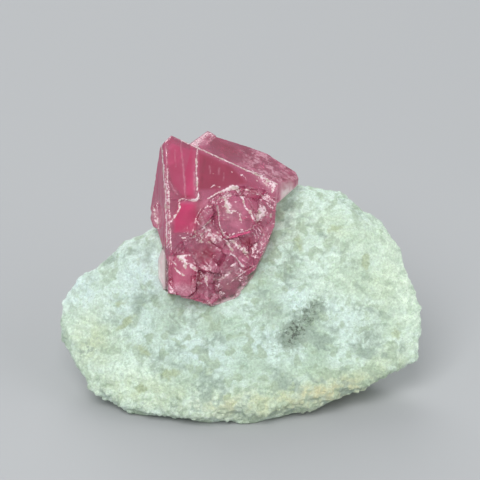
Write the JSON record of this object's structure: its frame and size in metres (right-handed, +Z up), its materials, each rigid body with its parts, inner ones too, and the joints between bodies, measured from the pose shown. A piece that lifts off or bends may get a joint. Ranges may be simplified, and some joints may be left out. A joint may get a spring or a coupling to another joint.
{
  "type": "spinel crystal on marble matrix",
  "caption": "Rough pink spinel crystal with one large flat face and a broken front, seated in a hand-sized piece of white marble matrix that rests on a flat base.",
  "frame": {"origin": "on the flat base that the specimen rests on, under the middle of the marble", "axes": "+Z up, +X to the right along the marble's length, -Y towards the viewer, who sees the crystal's large flat face"},
  "size_m": [0.0508, 0.0257, 0.0364],
  "materials": {
    "marble": "sugary broken calcite marble, bluish white to pale yellow green, dry and matt with fine sparkling grains",
    "spinel": "see-through pinkish red gem crystal, glassy on its flat faces, frosty white along edges and breaks"
  },
  "bodies": {
    "root": {"marble_matrix": "marble", "spinel_crystal": "spinel"}
  },
  "joints": []
}
